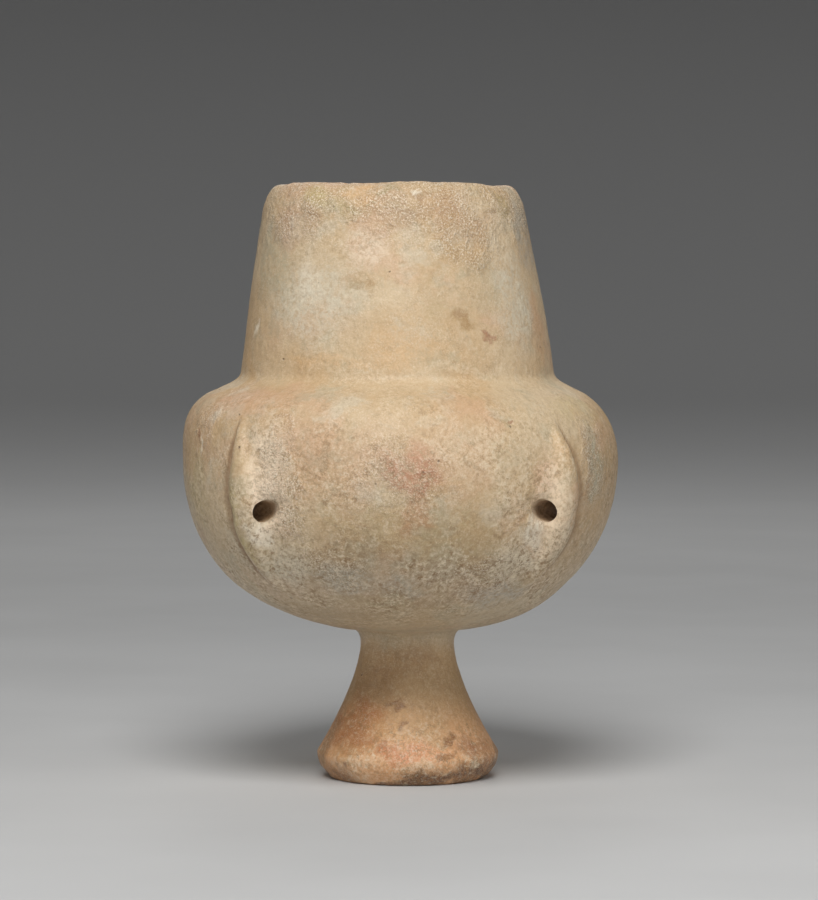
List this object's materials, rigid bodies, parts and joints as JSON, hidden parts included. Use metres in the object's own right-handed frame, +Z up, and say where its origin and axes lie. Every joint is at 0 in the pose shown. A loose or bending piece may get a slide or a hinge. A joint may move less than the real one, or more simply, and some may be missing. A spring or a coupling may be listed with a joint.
{
  "type": "collared jar",
  "caption": "Carved marble jar on a conical foot, with a round body, pierced upright lugs for a cord and a tall collar that narrows to an open rim.",
  "frame": {"origin": "on the surface the jar stands on, below the middle of the body, which is also the middle of the four lugs", "axes": "+Z up along the body's axis; the lugs stand at +X, +Y, -X and -Y, and the pictured side lies between the +X and -Y lugs, at azimuth 43.5 degrees"},
  "size_m": [0.1898, 0.1898, 0.245],
  "materials": {
    "marble": "weathered, slightly granular, with a dull polish"
  },
  "bodies": {
    "root": {"jar": "marble"}
  },
  "joints": []
}
